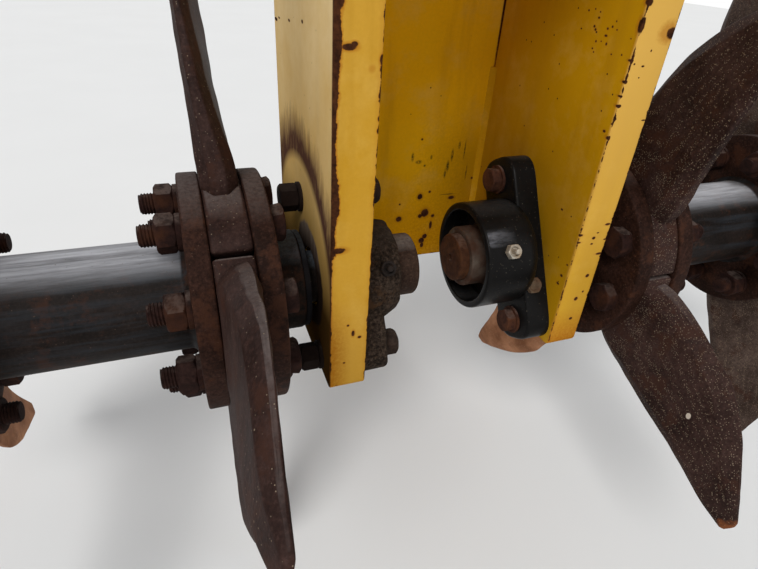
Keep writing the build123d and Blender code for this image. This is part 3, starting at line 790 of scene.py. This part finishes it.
# Grease nipples and a plug: plated hexagons screwed into the housings' front flanks. The right
# nipple's zinc is still bright, and the others have gone brown and black.
def hexagonal(rows, across, steps=60):
    """A hexagon's skin along X: each row is (x, limit), and its radius at angle a is the lesser
    of the limit and the hexagon's own (across / 2) / cos(a - nearest flat)."""
    a = np.linspace(0, 2 * pi, steps, endpoint=False)
    own = across / 2 / np.cos((a % (pi / 3)) - pi / 6)
    rows = np.asarray(rows)
    return skin(around(rows[:, :1], np.minimum(own[None], rows[:, 1:])))


def chamfer(x, way, across, count=5):
    """Rows of a hexagon's turned chamfer, from its flat face at x inward."""
    t = np.linspace(0, 1, count)
    return [(x + way * 0.075 * across * s, across * (0.485 + 0.095 * s)) for s in t]


def nut(start, end, across):
    """A nut from start to end, chamfered on both faces."""
    rows = chamfer(start, 1, across) + chamfer(end, -1, across)[::-1]
    return hexagonal([(start, 0)] + rows + [(end, 0)], across)


def lathe(rows, steps=40):
    """A round skin along X from rows of (x, r)."""
    rows = np.asarray(rows, float)
    return skin(around(rows[:, :1], np.repeat(rows[:, 1:], steps, axis=1)))


def placed(mesh, matrix):
    """A copy of the mesh moved by the matrix."""
    copy = mesh.copy()
    copy.transform(matrix)
    return copy


def flank_seat(side, deep, along, out):
    """Matrix that stands an X-along piece on a bearing's front flank."""
    toward, side_on = Vector((0, *bar_out)), Vector((1, 0, 0))
    columns = toward, side_on, toward.cross(side_on), on_bar(side, along, out, deep)
    return Matrix([*zip(*columns), (0, 0, 0, 1)])


bright_zinc = (0.34, 0.31, 0.26), (0.66, 0.6, 0.5), (0.26, 0.17, 0.09)
dull_browns = (0.06, 0.038, 0.022), (0.2, 0.15, 0.095), (0.085, 0.04, 0.02)
near_blacks = (0.006, 0.004, 0.003), (0.02, 0.013, 0.01), (0.016, 0.01, 0.007)
nipple_finish = {
    "right": worn_steel("nipple_zinc", *bright_zinc, 0.42, 0.5, 0.5),
    "left": worn_steel("left_nipple_rust", *near_blacks, 0.9, 0, 0.5),
}
plug_rust = worn_steel("plug_rust", *dull_browns, 0.7, 0.1, 0.42)
nipple_af, plug_af = 0.014, 0.016
nipple_rows = [(-0.001, 0), (-0.001, 0.0081)] + chamfer(0.0068, -1, nipple_af)[::-1] + [
    (0.0066, 0.0056), (0.0058, 0.0046), (0.0038, 0.0042), (0.0036, 0.0026), (0.0085, 0.0022),
    (0.0105, 0.003), (0.0118, 0.0022), (0.012, 0),
]
plug_rows = [(-0.001, 0), (-0.001, 0.0093)] + chamfer(0.0058, -1, plug_af)[::-1] + [
    (0.0048, 0.0058), (0.003, 0.005), (0.0026, 0),
]
nipple_hex = hexagonal(nipple_rows, nipple_af)
nipple_place = {"left": (0.027, 0, 0.052), "right": (0.055, 0, 0.0575)}
for side in sides:
    shells = [placed(nipple_hex, flank_seat(side, *nipple_place[side]))]
    finish = nipple_finish[side]
    dress(f"grease_nipple_{side}", "cup", shells, "hanger", "nipple_steel", finish, sharp=40)
shells = [placed(hexagonal(plug_rows, plug_af), flank_seat("right", 0.0175, -0.04, 0.031))]
dress("bearing_plug_right", "hex", shells, "hanger", "nipple_steel", plug_rust, sharp=40)


# Bearing bolts: 5/8 inch, rusted dark red. On the left they pass through and carry a heavy
# nut and washer outside; on the right they are screwed into the plate.
def threaded(start, end, radius, pitch, depth, steps=40):
    """A screw's end: r = radius - depth * |saw|, where the saw runs once a pitch along X and
    once a turn, so the grooves wind; the last pitch tapers."""
    count = int((end - start) / pitch * 8)
    x = np.linspace(start, end, count)[:, None]
    a = np.linspace(0, 2 * pi, steps, endpoint=False)[None]
    phase = (x / pitch - a / (2 * pi)) % 1.0
    taper = np.clip((x - end) / pitch + 1, 0, 1) * depth * 1.2
    return capped(around(x, radius - depth * np.abs(2 * phase - 1) - taper))


def washer(start, end, radius, ease=0.0004, steps=40):
    """A washer from start to end, its edges chamfered by the ease."""
    half = [(start, 0), (start, radius - ease), (start + ease, radius)]
    return lathe(half + [(end - ease, radius), (end, radius - ease), (end, 0)], steps)


def head(start, end, collar, across):
    """A hexagon head on its round collar, from its seat at start out to its face at end."""
    rows = [(start, 0), (start, collar), (start - 0.0008, collar), (start - 0.001, collar - 0.0009)]
    return hexagonal(rows + chamfer(end, 1, across)[::-1] + [(end, 0)], across)


def rusty(name, dark, light, orange, rough=0.8, black_from=None):
    """Heavy brown rust: scaly noise in colour and relief, with orange bloom in its hollows. It
    is caked black further from the hanger's middle than black_from."""
    finish, shader, here = new_material(name, rough, specular=0.08)
    scale = noise(here, 150, 6, 0.7)
    patch = noise(here, 38, 4, 0.6, shift=(2, 2, 5))
    base = blend(ramp(scale, 0.34, 0.68), dark, light)
    base = blend(ramp(patch, 0.5, 0.74, 0, 0.85), base, orange)
    # Faces turned up are paler: a dusting, with a painted highlight.
    upward_dust_and_sheen = times(ramp(towards(here, (0, 0, 1)), 0.72, 1.0), ramp(scale, 0.4, 0.6, 0.1, 0.45))
    base = blend(upward_dust_and_sheen, base, (0.17, 0.13, 0.11))
    if black_from:
        out = maths("ABSOLUTE", put("SeparateXYZ", {0: here}).outputs[0])
        caked = ramp(out, black_from, black_from + 0.004, 0, 0.85)
        base = blend(caked, base, (0.0085, 0.0045, 0.0035))
    feed(shader, "Base Color", base)
    scales = bump(shader, scale, 0.5, 0.0009)
    bump(shader, noise(here, 420, 3, 0.7), 0.3, 0.0004, scales)
    return finish


left_browns = (0.014, 0.008, 0.006), (0.042, 0.027, 0.019), (0.06, 0.03, 0.018)
right_browns = (0.024, 0.0095, 0.0065), (0.072, 0.028, 0.016), (0.12, 0.042, 0.016)
bearing_bolt_rust = {
    "left": rusty("left_bolt_rust", *left_browns, 0.85, black_from=0.14),
    "right": rusty("right_bolt_rust", *right_browns),
}
bearing_af = 0.0238
bearing_reach = 0.0785
bolt_end = lathe([
    (0.079, 0), (0.079, 0.0072), (0.0825, 0.0072), (0.083, 0.0066), (0.083, 0),
])
shank = lathe([(-0.001, 0), (-0.001, 0.0079), (0.03, 0.0079), (0.03, 0)])
tail_place = Matrix.Translation((-0.0015, 0, 0)) @ Matrix.Rotation(pi, 4, "Z")
bearing_bolt_parts = {
    "left": [
        placed(threaded(0, 0.018, 0.0079, 0.0023, 0.0009), tail_place),
        nut(-0.0175, 0, bearing_af), washer(0.062, 0.0655, 0.0145),
        nut(0.0655, 0.0828, bearing_af), bolt_end,
    ],
    "right": [
        head(-0.0028, -0.0129, 0.0135, bearing_af), washer(-0.003, 0, 0.0155), shank,
    ],
}


def along_shaft(side, x, y, z, turn):
    """Matrix for an X-along bolt: its +X points outward on that side, turned about itself."""
    facing = Matrix.Rotation(pi if side == "left" else 0, 4, "Z")
    return Matrix.Translation((sides[side] * x, y, z)) @ facing @ Matrix.Rotation(turn, 4, "X")


for side in sides:
    shells = []
    for reach, turn in ((-bearing_reach, 0.35), (bearing_reach, 0.85)):
        y, z = axis_y + reach * bar_up[0], axis_z + reach * bar_up[1]
        place = along_shaft(side, plate_in - bar_thick, y, z, turn)
        shells += [placed(part, place) for part in bearing_bolt_parts[side]]
    finish = bearing_bolt_rust[side]
    dress(f"bearing_bolts_{side}", "rusted", shells, "hanger", "rusty_bolts", finish, sharp=28)

# Rotor flanges: 18 mm discs burned from plate, two at each station with the tines' feet
# pinched between them. Their rims are pitted, and pale where they face up, a dusting with a
# painted highlight.
disc_iron = cast(
    "disc_iron",
    [(0.013, 0.0048, 0.0026), (0.036, 0.0155, 0.0105), (0.12, 0.07, 0.05), (0.13, 0.1, 0.09)],
    rough=0.66, pits=1.7, dust_and_sheen=0.6, upward=0.84, flecks=0.02, specular=0.07, gritty=0.6,
    patches=(0.05, 0.019, 0.01),
)
grip = 0.069  # two discs and a foot, which the bolts clamp
half_grip = grip / 2
disc_off, disc_half, disc_r = 0.0255, 0.009, 0.108
tube_inner = 0.0413
first_flange = {"left": plate_out + 0.0417, "right": plate_out + 0.0226}
station_at = half_grip, 0.2885  # from the first flange's near face
stations = {side: [start + at for at in station_at] for side, start in first_flange.items()}
for side, way in sides.items():
    shells = []
    for number, station in enumerate(stations[side]):
        for step in (-1, 1):
            inner = tube_inner if (number == 0) == (step == 1) else 0
            middle = station + step * disc_off
            corners = four(middle - disc_half, middle + disc_half, inner, disc_r)
            setbacks = [0, 0.0022, 0.0022, 0]
            shells.append(turned(corners, setbacks, way, gap=0.012, steps=120, closed=inner > 0))
    dress(f"rotor_flanges_{side}", "discs", shells, f"rotor_{side}", "cast_tines", disc_iron)

# Tubes, guards and stub shafts: drawn tube painted blue-black, pale grey along its top, wear
# with a painted highlight; the stubs are turned steel, welded to the outer flanges.
tube_paint = cast(
    "tube_paint",
    [(0.0075, 0.006, 0.0052), (0.021, 0.0145, 0.012), (0.11, 0.07, 0.05), (0.62, 0.62, 0.65)],
    rough=0.5, pits=0.6, dust_and_sheen=0.98, upward=0.68, flecks=0.02, specular=0.06, gritty=0.35,
    streaks=(0.07, 1, 1), patches=(0.04, 0.017, 0.01),
)
# The hubs' blue-grey on faces turned up is a painted highlight over a dusting.
hub_paint = cast(
    "hub_paint",
    [(0.0055, 0.0048, 0.0045), (0.021, 0.014, 0.011), (0.09, 0.07, 0.05), (0.1, 0.115, 0.13)],
    rough=0.6, pits=1.2, dust_and_sheen=0.8, upward=0.72, flecks=0.03, specular=0.03, gritty=0.5,
    patches=(0.034, 0.015, 0.009),
)
guard_paint = cast(
    "guard_paint",
    [(0.0045, 0.0045, 0.006), (0.013, 0.011, 0.011), (0.09, 0.07, 0.05), (0.06, 0.065, 0.07)],
    rough=0.6, pits=1.0, dust_and_sheen=0.7, upward=0.75, flecks=0.02, specular=0.03,
)
stub_browns = (0.016, 0.01, 0.008), (0.05, 0.032, 0.024), (0.085, 0.037, 0.02)
shaft_browns = (0.026, 0.0095, 0.0045), (0.062, 0.024, 0.0105), (0.1, 0.038, 0.013)
stub_rust = rusty("stub_rust", *stub_browns, 0.7)
stub_finish = {"left": hub_paint, "right": rusty("shaft_rust", *shaft_browns, 0.75)}
shaft_r, hub_r, weld_r, tube_outer = 0.0254, 0.048, 0.053, 0.0508
shaft_ends = {"left": 0.041, "right": 0.011}
guards = {
    "left": (plate_out + 0.009, plate_out + 0.0145, 0.047),
    "right": (plate_out + 0.006, plate_out + 0.011, 0.0595),
}
for side, way in sides.items():
    rotor = f"rotor_{side}"
    start, end = stations[side][0] + half_grip, stations[side][1] - half_grip
    corners = [
        (start, tube_inner), (start, 0.0563), (start + 0.0055, tube_outer),
        (end - 0.0055, tube_outer), (end, 0.0563), (end, tube_inner),
    ]
    setbacks = [0, 0, 0.002, 0.002, 0, 0]
    shells = [turned(corners, setbacks, way, gap=0.02, steps=120)]
    dress(f"rotor_tube_{side}", "painted", shells, rotor, "blue_black_paint", tube_paint)
    start, end, radius = guards[side]
    corners = four(start, end, bore_r, radius)
    shells = [turned(corners, [0, 0.0012, 0.0012, 0], way, steps=120)]
    dress(f"wrap_guard_{side}", "ring", shells, rotor, "black_guard", guard_paint)
    face, out = shaft_ends[side], first_flange[side]
    corners = [
        (face + 0.004, 0), (face + 0.003, 0.0035), (face, 0.004), (face, shaft_r),
        (end, shaft_r), (end, hub_r), (out - 0.006, hub_r), (out, weld_r), (out, 0),
    ]
    setbacks = [0, 0.0005, 0.0005, 0.003, 0, 0.002, 0.002, 0, 0]
    shells = [turned(corners, setbacks, way, gap=0.02, closed=False)]
    dress(f"inner_stub_{side}", "turned", shells, rotor, "rusty_stub", stub_finish[side])
    out = stations[side][1] + half_grip
    corners = [
        (out, 0), (out, weld_r), (out + 0.006, hub_r), (out + 0.06, hub_r),
        (out + 0.06, shaft_r), (out + 0.15, shaft_r), (out + 0.15, 0),
    ]
    setbacks = [0, 0, 0.002, 0.003, 0, 0.002, 0]
    shells = [turned(corners, setbacks, way, gap=0.02, closed=False)]
    dress(f"outer_stub_{side}", "turned", shells, rotor, "rusty_stub", stub_rust)

# Tine bolts: 3/4 inch, eight to a station, the nuts on spring washers towards the tube with
# their threads showing.
tine_af = 0.0286
bolt_circle = 0.083
bolts_back = 13.5  # degrees from a tip back to the first bolt
spring_end = grip + 0.0045
bolt_parts = [
    head(0, -0.0119, 0.0159, tine_af),
    washer(grip, spring_end, 0.0155, 0.0005, 48),
    nut(spring_end, grip + 0.02, tine_af),
    threaded(grip + 0.018, grip + 0.033, 0.0095, 0.0025, 0.0011),
]
bolt_browns = (0.009, 0.0038, 0.003), (0.03, 0.0125, 0.0095), (0.056, 0.02, 0.009)
bolt_rust = rusty("bolt_rust", *bolt_browns)
tips = {"left": (80, 35), "right": (31, 69)}
turns = np.random.default_rng(5)
for side, other in (("left", "right"), ("right", "left")):
    for number, (facing, outward) in enumerate(((side, 1), (other, -1))):
        shells = []
        start = outward * (stations[side][number] - outward * half_grip)
        for i in range(8):
            angle = radians(tips[side][number] - bolts_back + 45 * i)
            y, z = axis_y + bolt_circle * cos(angle), axis_z + bolt_circle * sin(angle)
            place = along_shaft(facing, start, y, z, turns.uniform(0, 1.05))
            shells += [placed(part, place) for part in bolt_parts]
        name = f"tine_bolts_{side}_{number + 1}"
        dress(name, "rusted", shells, f"rotor_{side}", "rusty_bolts", bolt_rust, sharp=28)

# Tines: cast iron, four to a station, each with a quarter-ring foot and a curved, twisted
# blade bevelled along both edges. They are rough, dark red-brown and flecked with sand; two
# have bloomed orange.
blade_rows = np.array([  # millimetres: radius, low, high, left and right; twist in degrees; bevels
    (82, -52, 40, -16, 14, 0, 0.14, 0.4),
    (108, -64, 44, -16.3, 14, -0.4, 0.14, 0.4),
    (125, -67.5, 42, -16.8, 13, -1.7, 0.14, 0.38),
    (150, -70, 36, -16, 8, -4.4, 0.12, 0.36),
    (180, -71, 29, -16.6, 2.2, -6.7, 0.12, 0.36),
    (205, -71, 23.5, -17.3, -0.8, -8.6, 0.16, 0.42),
    (250, -56, 14, -19, -6, -11.7, 0.24, 0.45),
    (295, -28, 10, -18, -7, -14.7, 0.25, 0.4),
    (322, -9, 6.5, -11.5, -6, -16.5, 0.2, 0.3),
])


def through(x, y, at):
    """A smooth curve through points: cubic pieces whose slopes are the mean of their runs'."""
    run = np.diff(y) / np.diff(x)
    slope = np.concatenate([run[:1], (run[:-1] + run[1:]) / 2, run[-1:]])
    i = np.clip(np.searchsorted(x, at, side="right") - 1, 0, len(x) - 2)
    w = x[i + 1] - x[i]
    t = (at - x[i]) / w
    rise = slope[i] * w * t * (1 - t) ** 2 - slope[i + 1] * w * t**2 * (1 - t)
    return y[i] * (1 + 2 * t) * (1 - t) ** 2 + y[i + 1] * t**2 * (3 - 2 * t) + rise


def blade_skin():
    """The blade in rows across its length. Each row is an eight-cornered section, its edges
    bevelled and its corners eased by parabolas, turned by the twist about the blade's line. The
    left face runs softly into the lower bevel near the root and breaks sharply further out."""
    r = np.concatenate([np.linspace(82, 318, 80), np.linspace(319.2, 322, 4)])
    sections = [through(blade_rows[:, 0], v, r) for v in blade_rows[:, 1:].T]
    low, high, left, right, twist, wide, deep = sections
    blunt = 0.3 * np.clip((r - 318.5) / 3.5, 0, 1) ** 2
    middle = (low + high) / 2, (left + right) / 2
    low, high = (v + (middle[0] - v) * blunt for v in (low, high))
    left, right = (v + (middle[1] - v) * blunt for v in (left, right))
    width, thick = high - low, right - left
    near_low, near_high = low + 0.15 * width, high - 0.12 * width
    corners = [
        (near_high, right), (near_low, right), (low, right - 0.2 * thick),
        (low + 0.03 * width, left + deep * thick), (low + wide * width, left), (near_high, left),
        (high, left + 0.3 * thick), (high, right - 0.3 * thick),
    ]
    corners = np.stack([np.stack(pair, -1) for pair in corners], axis=1)
    soft = np.clip((185 - r) / 40, 0, 1)
    ease = [1.8, 1.8, 1.6, 1.4 + 2.0 * soft, 1.4 + 6.0 * soft, 1.8, 1.8, 1.8]
    columns = []
    t = np.linspace(0, 1, 5)
    for i in range(8):
        p, before, after = corners[:, i], corners[:, i - 1], corners[:, (i + 1) % 8]
        to_a, to_b = before - p, after - p
        a = p + to_a * np.minimum(ease[i] / np.linalg.norm(to_a, axis=1), 0.45)[:, None]
        b = p + to_b * np.minimum(ease[i] / np.linalg.norm(to_b, axis=1), 0.45)[:, None]
        columns += [(1 - s) ** 2 * a + 2 * s * (1 - s) * p + s**2 * b for s in t]
        columns += [b + (after - b) * s for s in (0.25, 0.5, 0.75)]
    e, x = np.stack(columns, axis=1).transpose(2, 0, 1) / 1000
    twist = np.radians(twist)
    c, s = np.cos(twist)[:, None], np.sin(twist)[:, None]
    e, x = e * c - x * s, e * s + x * c
    return capped(np.stack(np.broadcast_arrays(x, r[:, None] / 1000, e), axis=-1))


def foot_skin():
    """The foot, a rounded block swept a quarter turn about the shaft. Half of the joint's gap
    comes off square at either end, where the block's edges round off."""
    inner, outer, half, ease = 0.052, 0.1065, 0.0165, 0.003
    corners = four(-half, half, inner, outer)
    outline = refined(eased(corners, [0, 0.0042, 0.0042, 0], closed=True), 0.008, closed=True)
    centre = np.array([0, (inner + outer) / 2])
    shape = np.array([half, (outer - inner) / 2])
    rows = [(-36.0, 0.002 + rise, inset) for inset, rise in rounding(ease)]
    rows += [(a, 0, 0) for a in np.linspace(-28, 46, 34)]
    rows += [(54.0, -shift, inset) for a, shift, inset in rows[4::-1]]
    grid = []
    for angle, shift, inset in rows:
        x, r = (centre + (outline - centre) * (1 - inset / shape)).T
        c, s = cos(radians(angle)), sin(radians(angle))
        grid.append(np.column_stack([x, r * c - shift * s, r * s + shift * c]))
    return capped(np.array(grid))


dark_iron = [(0.016, 0.0068, 0.005), (0.05, 0.026, 0.021), (0.33, 0.255, 0.175)]
dusty_iron = [(0.032, 0.019, 0.014), (0.098, 0.066, 0.052), (0.3, 0.22, 0.15)]
fresh_rust = (0.2, 0.06, 0.018)
clay = [(0.1853, -0.2322, -0.5106, 0.003, 0.0024, 0.0032)]
tine_looks = {
    "left_1": (dark_iron, 0.04, None), "left_2": (dark_iron, 0.04, None),
    "right_1": (dark_iron, 0.34, fresh_rust), "right_2": (dusty_iron, 0.34, fresh_rust),
}
# Faces turned up take the fourth colour, a dusting with a painted highlight.
tine_iron = {
    station: cast(
        f"tine_iron_{station}", [*colors, (0.16, 0.13, 0.12)],
        rough=0.58, pits=1.1, dust_and_sheen=0.7, upward=0.88, flecks=flecks, specular=0.08, gritty=0.4,
        patches=(0.04, 0.016, 0.01), tip=tip, spot=clay,
    )
    for station, (colors, flecks, tip) in tine_looks.items()
}
orange_iron = cast(
    "orange_iron",
    [(0.2, 0.08, 0.035), (0.46, 0.22, 0.115), (0.6, 0.42, 0.28), (0.55, 0.36, 0.24)],
    rough=0.75, pits=1.0, dust_and_sheen=0.6, upward=0.5, flecks=0.1, specular=0.1,
)
bloomed = ("tine_right_1_4", "tine_left_2_4")
tine_parts = [lumpy(blade_skin(), 0.0003, 0.03, 6), foot_skin()]
for side, way in sides.items():
    for number in (0, 1):
        place = Matrix.Translation((way * stations[side][number], axis_y, axis_z))
        for i in range(4):
            turn = Matrix.Rotation(radians(tips[side][number] + 90 * i), 4, "X")
            shells = [placed(part, place @ turn) for part in tine_parts]
            name = f"tine_{side}_{number + 1}_{i + 1}"
            finish = orange_iron if name in bloomed else tine_iron[f"{side}_{number + 1}"]
            dress(name, "cast", shells, f"rotor_{side}", "cast_tines", finish)
